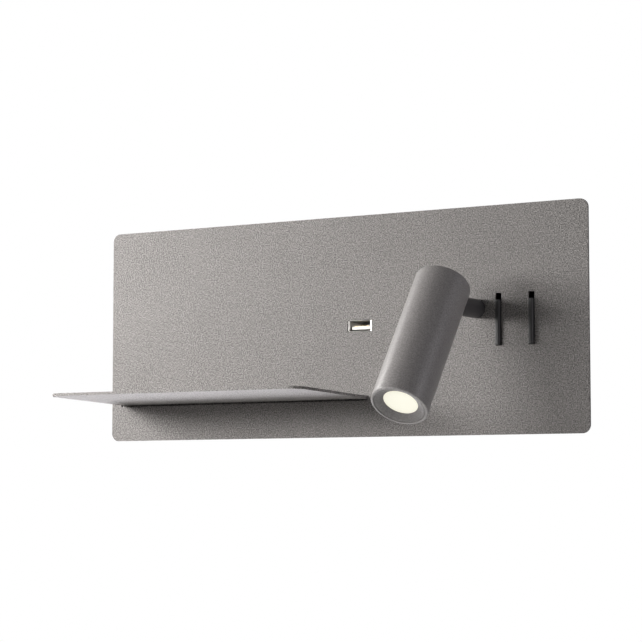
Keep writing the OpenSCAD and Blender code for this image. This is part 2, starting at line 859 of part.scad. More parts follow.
module switch_bridge(x) {
    color("#c98f52")
        translate([x, back_y, bar_z])
            box_between([-bridge_w / 2, foot_back - bridge_seat, -bridge_h / 2],
                [bridge_w / 2, bridge_back, bridge_h / 2]);
}

module switch_terminals(x) {
    color("#c9a94e")
        translate([x, back_y, 0])
            for (z = contact_zs)
                box_between([-contact_w / 2, bridge_back + loose_gap, z - contact_t / 2],
                    [contact_w / 2, contact_end, z + contact_t / 2]);
}

module reading_switch_body() {
    switch_body(switch_xs[0]);
}

module reading_switch_slider() {
    switch_slider(switch_xs[0]);
}

module reading_switch_bridge() {
    switch_bridge(switch_xs[0]);
}

module reading_switch_terminals() {
    switch_terminals(switch_xs[0]);
}

module backlight_switch_body() {
    switch_body(switch_xs[1]);
}

module backlight_switch_slider() {
    switch_slider(switch_xs[1]);
}

module backlight_switch_bridge() {
    switch_bridge(switch_xs[1]);
}

module backlight_switch_terminals() {
    switch_terminals(switch_xs[1]);
}

module switch_nuts() {
    color("#c4c4c0")
        for (x = switch_xs, s = [-1, 1])
            nut_y(x, back_y + sw_ear_t, s * sw_stud_z, m2_nut_w, m2_nut_h, m2_r + seat_gap);
}

// Round rod, milled flat at its front end for the eye, with a threaded shank through the panel
module stem() {
    color("#5f5c5c")
        translate([stem_x, 0, stem_z])
            difference() {
                union() {
                    rod_y(0, stem_shoulder_y, 0, stem_base_y - stem_shoulder_y, stem_r);
                    rod_y(0, stem_base_y - 0.5, 0, back_y + shank_end - stem_base_y + 0.5, shank_r);
                    intersection() {
                        rod_y(0, pivot_y, 0, stem_shoulder_y - pivot_y + 0.5, stem_r);
                        translate([-blade_t / 2, pivot_y, -stem_r])
                            cube([blade_t, stem_shoulder_y - pivot_y + 0.5, stem_d]);
                    }
                    rod_x(-blade_t / 2, pivot_y, 0, blade_t, stem_r);
                }
                rod_x(-stem_r, pivot_y, 0, stem_d, tilt_pin_r + run_gap);
                rod_y(0, stem_shoulder_y + 1, 0, back_y + shank_end - stem_shoulder_y, stem_bore / 2);
                rod_y(0, lead_exit_y - blade_bore_r, 0, stem_shoulder_y - lead_exit_y + blade_bore_r + 2,
                    blade_bore_r);
                rod_z(0, lead_exit_y, 0, stem_d, blade_bore_r);
            }
}

module stem_washer() {
    color("#202020")
        ring_y(stem_x, stem_base_y, stem_z, stem_washer_t - run_gap, stem_r, shank_r + seat_gap);
}

module swivel_bush() {
    color("#202020")
        difference() {
            union() {
                rod_y(stem_x, front_y, stem_z, sheet_t, stem_r);
                rod_y(stem_x, back_y, stem_z, bush_flange_t, bush_flange_r);
            }
            rod_y(stem_x, front_y - 1, stem_z, sheet_t + bush_flange_t + 2, shank_r + run_gap);
        }
}

module stop_washer() {
    color("#b8b8b4")
        difference() {
            union() {
                rod_y(stem_x, stop_washer_y, stem_z, stop_washer_t, stop_washer_r);
                intersection() {
                    rod_y(stem_x, stop_washer_y, stem_z, stop_washer_t, stop_tab_r);
                    translate([stem_x - stop_tab_w / 2, stop_washer_y, stem_z - stop_tab_r])
                        cube([stop_tab_w, stop_washer_t, stop_tab_r]);
                }
            }
            rod_y(stem_x, stop_washer_y - 1, stem_z, stop_washer_t + 2, shank_r + seat_gap);
        }
}

module wave_washer() {
    color("#b8b8b4")
        ring_y(stem_x, wave_y, stem_z, wave_t, stop_washer_r - 0.2, shank_r + 0.2);
}

module swivel_nut() {
    color("#c4c4c0")
        nut_y(stem_x, swivel_nut_y, stem_z, swivel_nut_w, swivel_nut_h, shank_r + seat_gap);
}

module stop_pin() {
    color("#b8b8b4")
        rod_y(stem_x, back_y, stem_z + stop_pin_at, wave_y - back_y, stop_pin_r);
}

module head_place() {
    translate([stem_x, pivot_y, stem_z])
        rotate([-head_tilt, 0, 0])
            children();
}

module carrier_screw_bores(r, from_r, to_r) {
    for (s = [-1, 1], z = carrier_screw_zs)
        rotate([0, 0, s * carrier_screw_turn])
            rod_y(0, from_r, z, to_r - from_r, r);
}

// The way of the stem's blade through a wall of the head, from its back to its rear end
module blade_way(from_y, to_y) {
    translate([-slot_half, from_y, slot_end_z])
        cube([2 * slot_half, to_y - from_y, head_rear - slot_end_z + 1]);
    rod_y(0, from_y, slot_end_z, to_y - from_y, slot_half);
}

module head_tube() {
    edge = 0.4;
    color("#767372")
        head_place()
            difference() {
                rotate_extrude()
                    polygon([
                        [tube_in_r, head_front],
                        [head_r - edge, head_front],
                        [head_r, head_front + edge],
                        [head_r, head_rear - edge],
                        [head_r - edge, head_rear],
                        [tube_in_r, head_rear]
                    ]);
                blade_way(tube_in_r / 2, head_r + 1);
                carrier_screw_bores(m3_r + 0.1, tube_in_r - 1, head_r + 1);
            }
}

module head_rear_cap() {
    color("#6b6868")
        head_place()
            difference() {
                rod_z(0, 0, head_rear - cap_t, cap_t, fill_r);
                translate([-slot_half, slot_end_z, head_rear - cap_t - 1])
                    cube([2 * slot_half, head_r - slot_end_z, cap_t + 2]);
                rod_z(0, slot_end_z, head_rear - cap_t - 1, cap_t + 2, slot_half);
                for (s = [-1, 1])
                    rod_z(s * cap_screw_x, 0, head_rear - cap_t - 1, cap_t + 2, m2_r + 0.1);
                for (s = [-1, 1])
                    rod_z(s * cap_screw_x, 0, head_rear - 0.9, 2, 2);
            }
}

module rear_cap_screws() {
    color("#c4c4c0")
        head_place()
            for (s = [-1, 1])
                difference() {
                    union() {
                        rod_z(s * cap_screw_x, 0, head_rear - cap_t - 5, cap_t + 4.5, m2_r);
                        rod_z(s * cap_screw_x, 0, head_rear - 0.9, 0.8, 1.9);
                    }
                    translate([s * cap_screw_x, 0, head_rear])
                        cube([0.5, 5, 0.9], center = true);
                }
}

// Block inside the tube that holds the tilt pin and clamps the stem's eye between two washers; four set
// screws hold it in the tube
module pivot_carrier() {
    color("#a3a4a6")
        head_place()
            difference() {
                rod_z(0, 0, carrier_front, carrier_rear - carrier_front, fill_r);
                translate([-fork_half, -eye_room, -eye_room - 0.5])
                    cube([2 * fork_half, 2 * head_r, carrier_rear + eye_room + 2]);
                rod_x(-head_r, 0, 0, head_d, tilt_pin_r + seat_gap);
                rod_z(0, lead_bore_y, carrier_front - 1, carrier_rear - carrier_front + 2, lead_bore_r);
                translate([-lead_bore_r, lead_bore_y, carrier_rear - 3])
                    cube([2 * lead_bore_r, -lead_bore_y, 4]);
                for (s = [-1, 1])
                    rod_z(s * cap_screw_x, 0, carrier_rear - 6, 7, m2_r + seat_gap);
                carrier_screw_bores(m3_r + seat_gap, tube_in_r - carrier_screw_len, head_r);
            }
}

module carrier_set_screws() {
    screw_in = tube_in_r - carrier_screw_len + 0.8;
    screw_out = head_r - 0.4;
    color("#8d8d8d")
        head_place()
            for (s = [-1, 1], z = carrier_screw_zs)
                rotate([0, 0, s * carrier_screw_turn])
                    difference() {
                        rod_y(0, screw_in, z, screw_out - screw_in, m3_r);
                        translate([0, screw_out - 1.5, z])
                            rotate([-90, 0, 0])
                                cylinder(h = 3, r = 0.85, $fn = 6);
                    }
}

module tilt_pin() {
    pin_half = fill_r - 1.2;
    color("#c4c4c0")
        head_place()
            rod_x(-pin_half, 0, 0, 2 * pin_half, tilt_pin_r);
}

module tilt_washers() {
    color("#e8e6e0")
        head_place()
            for (x = [-blade_t / 2 - run_gap - tilt_washer_t, blade_t / 2 + run_gap])
                difference() {
                    rod_x(x, 0, 0, tilt_washer_t, 4);
                    rod_x(x - 1, 0, 0, tilt_washer_t + 2, tilt_pin_r + run_gap);
                }
}

// Turned slug with cooling grooves, pressed into the tube behind the light source
module heat_sink() {
    color("#b9bbbd")
        head_place()
            difference() {
                rod_z(0, 0, sink_front, sink_len, fill_r);
                for (i = [1 : 3])
                    translate([0, 0, sink_front + i * sink_len / 4 - 0.9])
                        difference() {
                            cylinder(h = 1.8, r = head_r);
                            translate([0, 0, -1])
                                cylinder(h = 4, r = fill_r - 3);
                        }
                rod_z(0, lead_bore_y, sink_front - 1, sink_len + 2, lead_bore_r);
            }
}

module led_board() {
    color("#eeeeea")
        head_place()
            rod_z(0, 0, sink_front - board_t, board_t, led_board_r);
}

module led_chip() {
    color("#e6c95a")
        head_place()
            rod_z(0, 0, sink_front - board_t - chip_t, chip_t, chip_r);
}

// Cone that gathers the light, with a flange that seats it behind the lens
module reflector() {
    rear_z = sink_front - board_t - 0.3;
    rear_r = chip_r + 1;
    front_r = lens_r - 1.2;
    flange_rear = lens_rear + reflector_flange_t;
    color("#e9e9e9")
        head_place()
            rotate_extrude()
                polygon([
                    [rear_r, rear_z],
                    [rear_r + reflector_wall, rear_z],
                    [front_r + reflector_wall, flange_rear],
                    [fill_r, flange_rear],
                    [fill_r, lens_rear],
                    [front_r, lens_rear]
                ]);
}

module lens() {
    color("#fdf6e4")
        head_place()
            rod_z(0, 0, lens_front, lens_t, lens_r);
}

// Collar in front of the lens: it holds the lens and slopes out to the rim of the tube
module baffle_ring() {
    ring_front = head_front + baffle_set_back;
    color("#6a6767")
        head_place()
            rotate_extrude()
                polygon([
                    [lens_d / 2, lens_front - 0.3],
                    [lens_d / 2, lens_front],
                    [lens_r + run_gap, lens_front],
                    [lens_r + run_gap, lens_rear],
                    [fill_r, lens_rear],
                    [fill_r, ring_front],
                    [fill_r - 0.4, ring_front]
                ]);
}

// Flexible strip with its light chips, on the outside of the housing; side is 1 above and -1 below
module backlight_strip(side) {
    count = floor(strip_len / led_pitch);
    color("#f0efe8")
        rotate([0, side > 0 ? 0 : 180, 0])
            translate([0, strip_y, housing_h / 2]) {
                translate([-strip_len / 2, 0, 0])
                    cube([strip_len, strip_w, strip_t]);
                for (i = [0 : count - 1])
                    translate([(i - (count - 1) / 2) * led_pitch, strip_w / 2, strip_t + led_h / 2])
                        cube([led_size, led_size, led_h + strip_t], center = true);
            }
}

module backlight_diffuser(side) {
    color("#f6f6f2")
        rotate([0, side > 0 ? 0 : 180, 0])
            translate([-diffuser_len / 2, diffuser_y, housing_h / 2])
                difference() {
                    cube([diffuser_len, diffuser_d, diffuser_h]);
                    translate([diffuser_wall, diffuser_wall, -1])
                        cube([diffuser_len - 2 * diffuser_wall, diffuser_d - 2 * diffuser_wall,
                            diffuser_h - diffuser_wall + 1]);
                }
}

module backlight_strip_top() {
    backlight_strip(1);
}

module backlight_strip_bottom() {
    backlight_strip(-1);
}

module backlight_diffuser_top() {
    backlight_diffuser(1);
}

module backlight_diffuser_bottom() {
    backlight_diffuser(-1);
}

// Two leads from the terminal block to the driver
module mains_leads() {
    inside_block = block_z + block_h / 2 - lead_grip;
    end_x = driver_right - driver_wall - 0.3;
    color("#6b4a35") {
        lead(lane([
            [pole_xs[0], pole_y, inside_block],
            [pole_xs[0], pole_y, mains_lane_z],
            [end_x, mains_ys[0], mains_lane_z]
        ]), lead_r);
        lead(lane([
            [pole_xs[1], pole_y, inside_block],
            [pole_xs[1], pole_y, mains_lane_z],
            [pole_xs[1], mains_ys[1], mains_lane_z],
            [end_x, mains_ys[1], mains_lane_z]
        ]), lead_r);
    }
}

// Leads from the driver to the charger, to the stem's bore and to the two light strips
module control_leads() {
    start_x = driver_right - driver_wall - 0.3;
    strip_end = housing_h / 2 + 1;
    strip_start = driver_h / 2 - driver_wall - 1;
    usb_pad_x = usb_x - usb_case_w / 2 + usb_wall + 1.5;
    color("#3a3a3c") {
        for (i = [0, 1])
            lead(lane([
                [start_x, usb_lead_y, usb_lead_zs[i]],
                [usb_pad_x + 2.4 * i, usb_lead_y, usb_lead_zs[i]],
                [usb_pad_x + 2.4 * i, usb_lead_y, usb_board_top]
            ]), lead_r);
        for (i = [0, 1])
            lead(lane([
                [start_x, head_lead_ys[i], head_lane_z],
                [stem_x + 2 * i - 1, head_lead_ys[i], head_lane_z],
                [stem_x + 2 * i - 1, head_lead_ys[i], stem_z],
                [stem_x + 2 * i - 1, shank_end - 1.5, stem_z]
            ]), head_lead_r);
        for (s = [-1, 1])
            lead(lane([
                [strip_lead_x, strip_lead_y, s * strip_start],
                [strip_lead_x, strip_lead_y, s * strip_end]
            ]), lead_r);
    }
}

// One lead from each switch to the terminal block, along the housing's lower wall
module switch_leads() {
    from_z = contact_zs[0] - contact_t / 2;
    from_y = contact_end - 2;
    target_xs = [pole_xs[2], pole_xs[1]];
    color("#2f5f9e")
        for (i = [0, 1])
            lead(lane([
                [switch_xs[i], from_y, from_z],
                [switch_xs[i], from_y, switch_lane_zs[i]],
                [switch_xs[i], pole_y, switch_lane_zs[i]],
                [target_xs[i], pole_y, switch_lane_zs[i]],
                [target_xs[i], pole_y, block_z - block_h / 2 + 3]
            ]), lead_r);
}

// Leads inside the head, from the room behind the joint to the light source
module head_leads() {
    color("#3a3a3c")
        head_place()
            for (s = [-1, 1])
                lead([
                    [s * 0.9, -stem_r - 0.6, carrier_rear - 1.4],
                    [s * 0.9, lead_bore_y, carrier_rear - 1.4],
                    [s * 0.9, lead_bore_y, sink_front]
                ], head_lead_r);
}

front_panel();
panel_studs();
phone_shelf();
shelf_nuts();
rear_housing();
housing_nuts();
wall_bracket();
bracket_screws();
cable_grommet();
driver_base();
driver_cover();
driver_board();
module_nuts();
terminal_block();
terminal_screws();
usb_case();
usb_lid();
usb_shell();
usb_tongue();
usb_contacts();
usb_board();
reading_switch_body();
reading_switch_slider();
reading_switch_bridge();
reading_switch_terminals();
backlight_switch_body();
backlight_switch_slider();
backlight_switch_bridge();
backlight_switch_terminals();
switch_nuts();
stem();
stem_washer();
swivel_bush();
stop_washer();
wave_washer();
swivel_nut();
stop_pin();
head_tube();
head_rear_cap();
rear_cap_screws();
pivot_carrier();
carrier_set_screws();
tilt_pin();
tilt_washers();
heat_sink();
led_board();
led_chip();
reflector();
lens();
baffle_ring();
backlight_strip_top();
backlight_strip_bottom();
backlight_diffuser_top();
backlight_diffuser_bottom();
mains_leads();
control_leads();
switch_leads();
head_leads();
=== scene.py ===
import json
import math
import bmesh
import bpy
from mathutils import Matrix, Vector


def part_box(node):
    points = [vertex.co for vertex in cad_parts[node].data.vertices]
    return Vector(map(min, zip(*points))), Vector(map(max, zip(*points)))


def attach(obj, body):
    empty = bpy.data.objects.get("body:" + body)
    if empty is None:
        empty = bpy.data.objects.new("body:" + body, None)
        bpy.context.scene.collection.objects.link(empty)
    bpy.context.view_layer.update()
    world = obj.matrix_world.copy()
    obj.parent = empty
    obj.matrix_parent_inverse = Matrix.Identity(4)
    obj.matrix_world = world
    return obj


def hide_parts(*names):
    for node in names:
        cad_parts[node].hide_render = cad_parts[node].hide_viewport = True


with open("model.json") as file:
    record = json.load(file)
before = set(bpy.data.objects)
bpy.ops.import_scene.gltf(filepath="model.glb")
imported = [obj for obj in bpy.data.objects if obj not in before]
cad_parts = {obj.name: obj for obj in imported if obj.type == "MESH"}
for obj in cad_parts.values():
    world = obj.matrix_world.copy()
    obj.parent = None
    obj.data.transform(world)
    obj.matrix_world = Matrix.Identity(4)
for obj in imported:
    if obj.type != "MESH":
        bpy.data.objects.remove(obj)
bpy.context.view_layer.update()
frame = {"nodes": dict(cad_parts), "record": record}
parts = frame["nodes"]
bodies = frame["record"]["behaviour"]["bodies"]


# Camera. It stands to the right of the lamp and a little below its middle, about a metre from the wall,
# with a long lens, so the plate's edges stay almost parallel.
camera_data = bpy.data.cameras.new("camera")
camera_data.sensor_width = 36.0
camera_data.lens = 117.2
camera = bpy.data.objects.new("camera", camera_data)
camera.location = (0.5698, -1.0071, -0.0929)
camera.rotation_euler = (math.pi / 2 + 0.0847, 0.0, 0.5338)
bpy.context.collection.objects.link(camera)
bpy.context.scene.camera = camera


# Studio. A long strip of light at the left, level with the lamp, is the main one; weaker soft boxes stand
# far left, right, below and behind. The room is white to the camera alone, and the pale floor, which lies
# well below the lamp, looks brighter to the camera than the light that it throws back.
def soft_box(name, place, target, size, power, tint=(1.0, 1.0, 1.0)):
    light = bpy.data.lights.new(name, "AREA")
    light.shape = "RECTANGLE"
    light.size, light.size_y = size
    light.energy = power
    light.color = tint
    lamp = bpy.data.objects.new(name, light)
    lamp.location = place
    lamp.rotation_euler = (Vector(target) - Vector(place)).to_track_quat("-Z", "Y").to_euler()
    bpy.context.collection.objects.link(lamp)


soft_box("strip_light", (-0.24, -0.44, 0.045), (0.20, -0.20, 0.015), (0.58, 0.09), 3.65, (1.0, 0.985, 0.965))
soft_box("far_light", (-0.80, -0.10, 0.40), (0.0, -0.03, 0.0), (0.20, 0.20), 5.5, (1.0, 0.985, 0.965))
soft_box("right_light", (0.90, -0.07, 0.15), (0.0, -0.05, 0.0), (0.32, 0.32), 1.8, (0.98, 0.955, 1.0))
soft_box("low_light", (-0.38, 0.30, -0.38), (-0.08, -0.06, -0.04), (0.40, 0.40), 3.6, (0.99, 0.965, 1.0))
soft_box("low_left_light", (-0.50, -0.30, -0.35), (0.0, -0.03, 0.0), (0.30, 0.30), 0.15, (0.99, 0.965, 1.0))
soft_box("back_light", (0.05, 0.75, 0.95), (0.0, -0.05, 0.0), (0.90, 0.90), 4.0)

room = bpy.data.worlds.new("room")
room.use_nodes = True
room_tree = room.node_tree
room_shader = room_tree.nodes["Background"]
room_shader.inputs["Color"].default_value = (1.0, 1.0, 1.0, 1.0)
room_ray = room_tree.nodes.new("ShaderNodeLightPath")
room_level = room_tree.nodes.new("ShaderNodeMath")
room_level.operation = "MAXIMUM"
room_level.inputs[0].default_value = 0.035
room_tree.links.new(room_ray.outputs["Is Camera Ray"], room_level.inputs[1])
room_tree.links.new(room_level.outputs[0], room_shader.inputs["Strength"])
bpy.context.scene.world = room
bpy.context.scene.view_settings.view_transform = "Standard"

floor_mesh = bpy.data.meshes.new("floor")
floor_work = bmesh.new()
bmesh.ops.create_grid(floor_work, x_segments=1, y_segments=1, size=3.0)
bmesh.ops.translate(floor_work, verts=floor_work.verts, vec=(0.0, 0.0, -0.45))
floor_work.to_mesh(floor_mesh)
floor_work.free()
floor = bpy.data.objects.new("floor", floor_mesh)
bpy.context.collection.objects.link(floor)
floor_paint = bpy.data.materials.new("floor_paint")
floor_paint.use_nodes = True
floor_shader = floor_paint.node_tree.nodes["Principled BSDF"]
floor_shader.inputs["Base Color"].default_value = (0.86, 0.86, 0.85, 1.0)
floor_shader.inputs["Roughness"].default_value = 0.8
floor.data.materials.append(floor_paint)
floor_ray = floor_paint.node_tree.nodes.new("ShaderNodeLightPath")
floor_glow = floor_paint.node_tree.nodes.new("ShaderNodeMix")
floor_glow.data_type = "RGBA"
floor_glow.inputs[6].default_value = (0.0, 0.0, 0.0, 1.0)
floor_glow.inputs[7].default_value = (0.70, 0.70, 0.69, 1.0)
floor_paint.node_tree.links.new(floor_ray.outputs["Is Camera Ray"], floor_glow.inputs[0])
floor_paint.node_tree.links.new(floor_glow.outputs[2], floor_shader.inputs["Emission Color"])
floor_shader.inputs["Emission Strength"].default_value = 1.0


# Plate. One laser-cut steel sheet with rounded corners, coated in a sandy warm-grey powder that has soft
# edges and a grain of about half a millimetre. Studs welded to its back carry everything else.
class Shade:
    """A value in a material's node tree. Arithmetic on it adds Math nodes."""

    def __init__(self, tree, socket):
        self.tree = tree
        self.socket = socket

    def node(self, kind, settings, sockets, out=0):
        made = self.tree.nodes.new(kind)
        for key, value in settings.items():
            setattr(made, key, value)
        for key, value in sockets.items():
            if isinstance(value, Shade):
                self.tree.links.new(value.socket, made.inputs[key])
            else:
                made.inputs[key].default_value = value
        return Shade(self.tree, made.outputs[out])

    def math(self, operation, first, second=0.0):
        return self.node("ShaderNodeMath", {"operation": operation}, {0: first, 1: second})

    def __add__(self, other):
        return self.math("ADD", self, other)

    def __sub__(self, other):
        return self.math("SUBTRACT", self, other)

    def __rsub__(self, other):
        return self.math("SUBTRACT", other, self)

    def __mul__(self, other):
        return self.math("MULTIPLY", self, other)

    __radd__ = __add__
    __rmul__ = __mul__

    def above(self, level, blur):
        """0 below level, 1 above it, with a soft step."""
        sockets = {"Value": self, "From Min": level - blur, "From Max": level + blur}
        return self.node("ShaderNodeMapRange", {"interpolation_type": "SMOOTHSTEP"}, sockets)

    def between(self, low, high):
        return self.node("ShaderNodeMapRange", {}, {"Value": self, "To Min": low, "To Max": high})

    def colours(self, first, second):
        """A colour that goes from first to second as this value goes from 0 to 1."""
        ends = {0: self}
        for key, colour in ((6, first), (7, second)):
            ends[key] = colour if isinstance(colour, Shade) else (*colour, 1.0)
        return self.node("ShaderNodeMix", {"data_type": "RGBA"}, ends, out=2)


class Finish:
    """One material, made of a Principled shader and patterns in the object's own coordinates."""

    def __init__(self, name, colour, roughness, metallic=0.0, **sockets):
        self.material = bpy.data.materials.new(name)
        self.material.use_nodes = True
        self.tree = self.material.node_tree
        self.shader = self.tree.nodes["Principled BSDF"]
        self.put("Base Color", (*colour, 1.0))
        self.put("Roughness", roughness)
        self.put("Metallic", metallic)
        for key, value in sockets.items():
            self.put(key.replace("_", " ").title().replace("Ior", "IOR"), value)
        self.start = Shade(self.tree, None)
        self.coords = self.start.node("ShaderNodeTexCoord", {}, {}, out="Object")

    def put(self, socket, value):
        if isinstance(value, Shade):
            self.tree.links.new(value.socket, self.shader.inputs[socket])
        else:
            self.shader.inputs[socket].default_value = value

    def turned(self, place=(0, 0, 0), turn=(0, 0, 0), scale=(1, 1, 1)):
        """Coordinates with their origin at place, turned by turn and then scaled."""
        settings = {"Vector": self.coords, "Location": place, "Rotation": turn, "Scale": scale}
        return self.start.node("ShaderNodeMapping", {"vector_type": "TEXTURE"}, settings)

    def grain(self, size, detail=2.0, coords=None, rough=0.5):
        """Noise with lumps of about size metres."""
        sockets = {"Vector": coords or self.coords, "Scale": 1.0 / size, "Detail": detail, "Roughness": rough}
        return self.start.node("ShaderNodeTexNoise", {}, sockets)

    def relief(self, height, depth, strength=1.0):
        """Bumps of depth metres where height goes from 0 to 1."""
        sockets = {"Strength": strength, "Distance": depth, "Height": height}
        self.put("Normal", self.start.node("ShaderNodeBump", {}, sockets))


def powder_coat(name, tint, rough, shine, contrast):
    """A sandy powder coat. contrast says how far its grains differ from the tint."""
    finish = Finish(name, tint, rough, specular_ior_level=shine)
    sand = finish.grain(0.0007, detail=2.0, rough=0.7)
    cloud = finish.grain(0.03, detail=2.0)
    speck = finish.grain(0.0022, detail=2.0)
    spread = 0.6 * contrast
    dark = [level * (1.0 - spread) for level in tint]
    light = [min(1.0, level * (1.0 + spread)) for level in tint]
    level = (sand.between(-1.35, 1.95) + speck.between(-0.1, 0.2) + cloud.between(-0.05, 0.05)) + 0.08
    finish.put("Base Color", level.colours(dark, light))
    finish.put("Roughness", sand.between(rough - 0.1, rough + 0.1))
    finish.relief(sand + speck * 0.6, 0.00018 * contrast, 0.8)
    return finish.material


def body_of_part(name):
    return next(body for body, members in bodies.items() if name in members)


def finish_piece(name, work, material, stands_for, smooth_to=40.0):
    """Turns a bmesh into a piece that rides on the body of the part it stands for."""
    mesh = bpy.data.meshes.new(name)
    work.to_mesh(mesh)
    work.free()
    mesh.polygons.foreach_set("use_smooth", [True] * len(mesh.polygons))
    mesh.set_sharp_from_angle(angle=math.radians(smooth_to))
    mesh.materials.append(material)
    piece = bpy.data.objects.new(name, mesh)
    bpy.context.collection.objects.link(piece)
    piece.modifiers.new("even_normals", "WEIGHTED_NORMAL").keep_sharp = True
    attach(piece, body_of_part(stands_for))
    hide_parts(stands_for)
    return piece


def eased(part, width, rings=2, crease=30.0):
    """A merged copy of a part's mesh whose sharp edges are rounded to width."""
    work = bmesh.new()
    work.from_mesh(parts[part].data)
    bmesh.ops.remove_doubles(work, verts=work.verts, dist=0.000002)
    flat = math.radians(0.4)
    bmesh.ops.dissolve_limit(work, angle_limit=flat, verts=work.verts, edges=work.edges)
    sharp = [edge for edge in work.edges if edge.calc_face_angle(0.0) > math.radians(crease)]
    shape = {"offset_type": "OFFSET", "segments": rings, "profile": 0.5, "affect": "EDGES", "material": -1}
    bmesh.ops.bevel(work, geom=sharp, offset=width, clamp_overlap=True, **shape)
    return work


def paint(material, *names):
    """Gives carried-over parts their finish."""
    for name in names:
        for place in parts[name].material_slots:
            place.material = material


plate_coat = powder_coat("plate_powder_coat", (0.222, 0.21, 0.204), 0.62, 0.45, 1.1)
finish_piece("plate", eased("front_panel", 0.00035), plate_coat, "front_panel")


# Shelf. A second coated sheet: it goes through a slot in the plate and bends down behind it into a
# flange, where three studs hold it. Its front corners are rounded and its edges are soft with paint.
finish_piece("shelf", eased("phone_shelf", 0.00022), plate_coat, "phone_shelf")


# Rear housing. A coated ring of thin folded sheet that stands on the plate's back and hides everything
# inside; its lips are nutted to the plate and four screws from above and below hold it to the bracket.
finish_piece("housing_ring", eased("rear_housing", 0.0002), plate_coat, "rear_housing")


# Zinc-plated hardware. The wall bracket, its screws, the welded studs and all nuts and washers are steel
# with a thin zinc layer: dull silver with faint clouding and rolling lines.
def plated_steel():
    finish = Finish("zinc_plating", (0.6, 0.6, 0.585), 0.38, 1.0)
    cloud = finish.grain(0.012, detail=4.0)
    drawn = finish.grain(0.0012, detail=3.0, coords=finish.turned(scale=(14.0, 1.0, 1.0)))
    finish.put("Base Color", cloud.colours((0.5, 0.51, 0.52), (0.7, 0.69, 0.64)))
    finish.put("Roughness", (cloud * 0.5 + drawn * 0.5).between(0.24, 0.52))
    finish.relief(drawn, 0.00001, 0.5)
    return finish.material


zinc = plated_steel()
zinc_parts = [row["node"] for row in frame["record"]["subparts"] if row["material_slot"] == "zinc_steel"]
paint(zinc, *zinc_parts)
finish_piece("bracket", eased("wall_bracket", 0.0002), zinc, "wall_bracket")


# Cable grommet and rubber washer. Soft black rubber: it seals the bracket's cable hole, and a thin ring of
# it keeps the stem from scratching the plate.
def soft_rubber():
    finish = Finish("black_rubber", (0.022, 0.022, 0.023), 0.72)
    bloom = finish.grain(0.004, detail=3.0)
    finish.put("Base Color", bloom.colours((0.016, 0.016, 0.017), (0.04, 0.04, 0.041)))
    finish.put("Roughness", bloom.between(0.62, 0.85))
    finish.relief(finish.grain(0.0005), 0.00002, 0.6)
    return finish.material


rubber = soft_rubber()
paint(rubber, "cable_grommet", "stem_washer")


# Socket. A stamped, nickel-plated shell lies just inside the plate's cut-out, its front edge spread into a
# small lip, with a white tongue that carries four gold contacts; the charger behind sits in a black case.
def nickel_plating():
    finish = Finish("nickel_plating", (0.6, 0.59, 0.57), 0.36, 1.0)
    drawn = finish.grain(0.0006, detail=3.0, coords=finish.turned(scale=(1.0, 9.0, 1.0)))
    finish.put("Base Color", drawn.colours((0.5, 0.49, 0.47), (0.7, 0.69, 0.67)))
    finish.put("Roughness", drawn.between(0.3, 0.44))
    finish.relief(drawn, 0.000008, 0.5)
    return finish.material


def moulded(name, tint, roughness, shine=0.4):
    """Moulded plastic with a fine eroded grain."""
    finish = Finish(name, tint, roughness, specular_ior_level=shine)
    pores = finish.grain(0.0004, detail=2.0)
    flow = finish.grain(0.012, detail=2.0)
    low = [level * 0.9 for level in tint]
    high = [min(1.0, level * 1.1 + 0.004) for level in tint]
    finish.put("Base Color", (flow * 0.6 + pores * 0.4).colours(low, high))
    finish.put("Roughness", pores.between(roughness - 0.08, roughness + 0.1))
    finish.relief(pores, 0.00002, 0.5)
    return finish.material


def worn_brass(name, tint):
    finish = Finish(name, tint, 0.28, 1.0)
    tarnish = finish.grain(0.003, detail=4.0)
    finish.put("Base Color", tarnish.colours([level * 0.7 for level in tint], tint))
    finish.put("Roughness", tarnish.between(0.2, 0.42))
    finish.relief(finish.grain(0.0006, detail=2.0), 0.00001, 0.4)
    return finish.material


black_case = moulded("black_case", (0.03, 0.03, 0.032), 0.5)
tongue_plastic = moulded("tongue_plastic", (0.84, 0.83, 0.79), 0.4)
gold = worn_brass("gold_contacts", (0.86, 0.62, 0.28))
shell_low, shell_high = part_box("usb_shell")
lip_depth = 0.0002
lip_spread = ((0, 0.0005), (2, 0.0002))
lip_wall = 0.0006
lip_start = shell_low[1] + lip_depth
lip = eased("usb_shell", 0.00009)
around = lip.verts[:] + lip.edges[:] + lip.faces[:]
bmesh.ops.bisect_plane(lip, geom=around, plane_co=(0.0, lip_start, 0.0), plane_no=(0.0, 1.0, 0.0))
for vert in lip.verts:
    bend = (lip_start - vert.co.y) / lip_depth
    if bend > 0.001:
        for axis, spread in lip_spread:
            middle = (shell_low[axis] + shell_high[axis]) / 2
            edge = (shell_high[axis] - shell_low[axis]) / 2 + spread
            offset = vert.co[axis] - middle
            to_edge = edge - abs(offset)
            if to_edge < spread + lip_wall:
                vert.co[axis] = middle + math.copysign(abs(offset) + to_edge * 0.9 * bend, offset)
finish_piece("socket_shell", lip, nickel_plating(), "usb_shell")
finish_piece("socket_tongue", eased("usb_tongue", 0.00015), tongue_plastic, "usb_tongue")
finish_piece("socket_case", eased("usb_case", 0.00025), black_case, "usb_case")
finish_piece("socket_lid", eased("usb_lid", 0.00025), black_case, "usb_lid")
paint(gold, "usb_contacts")


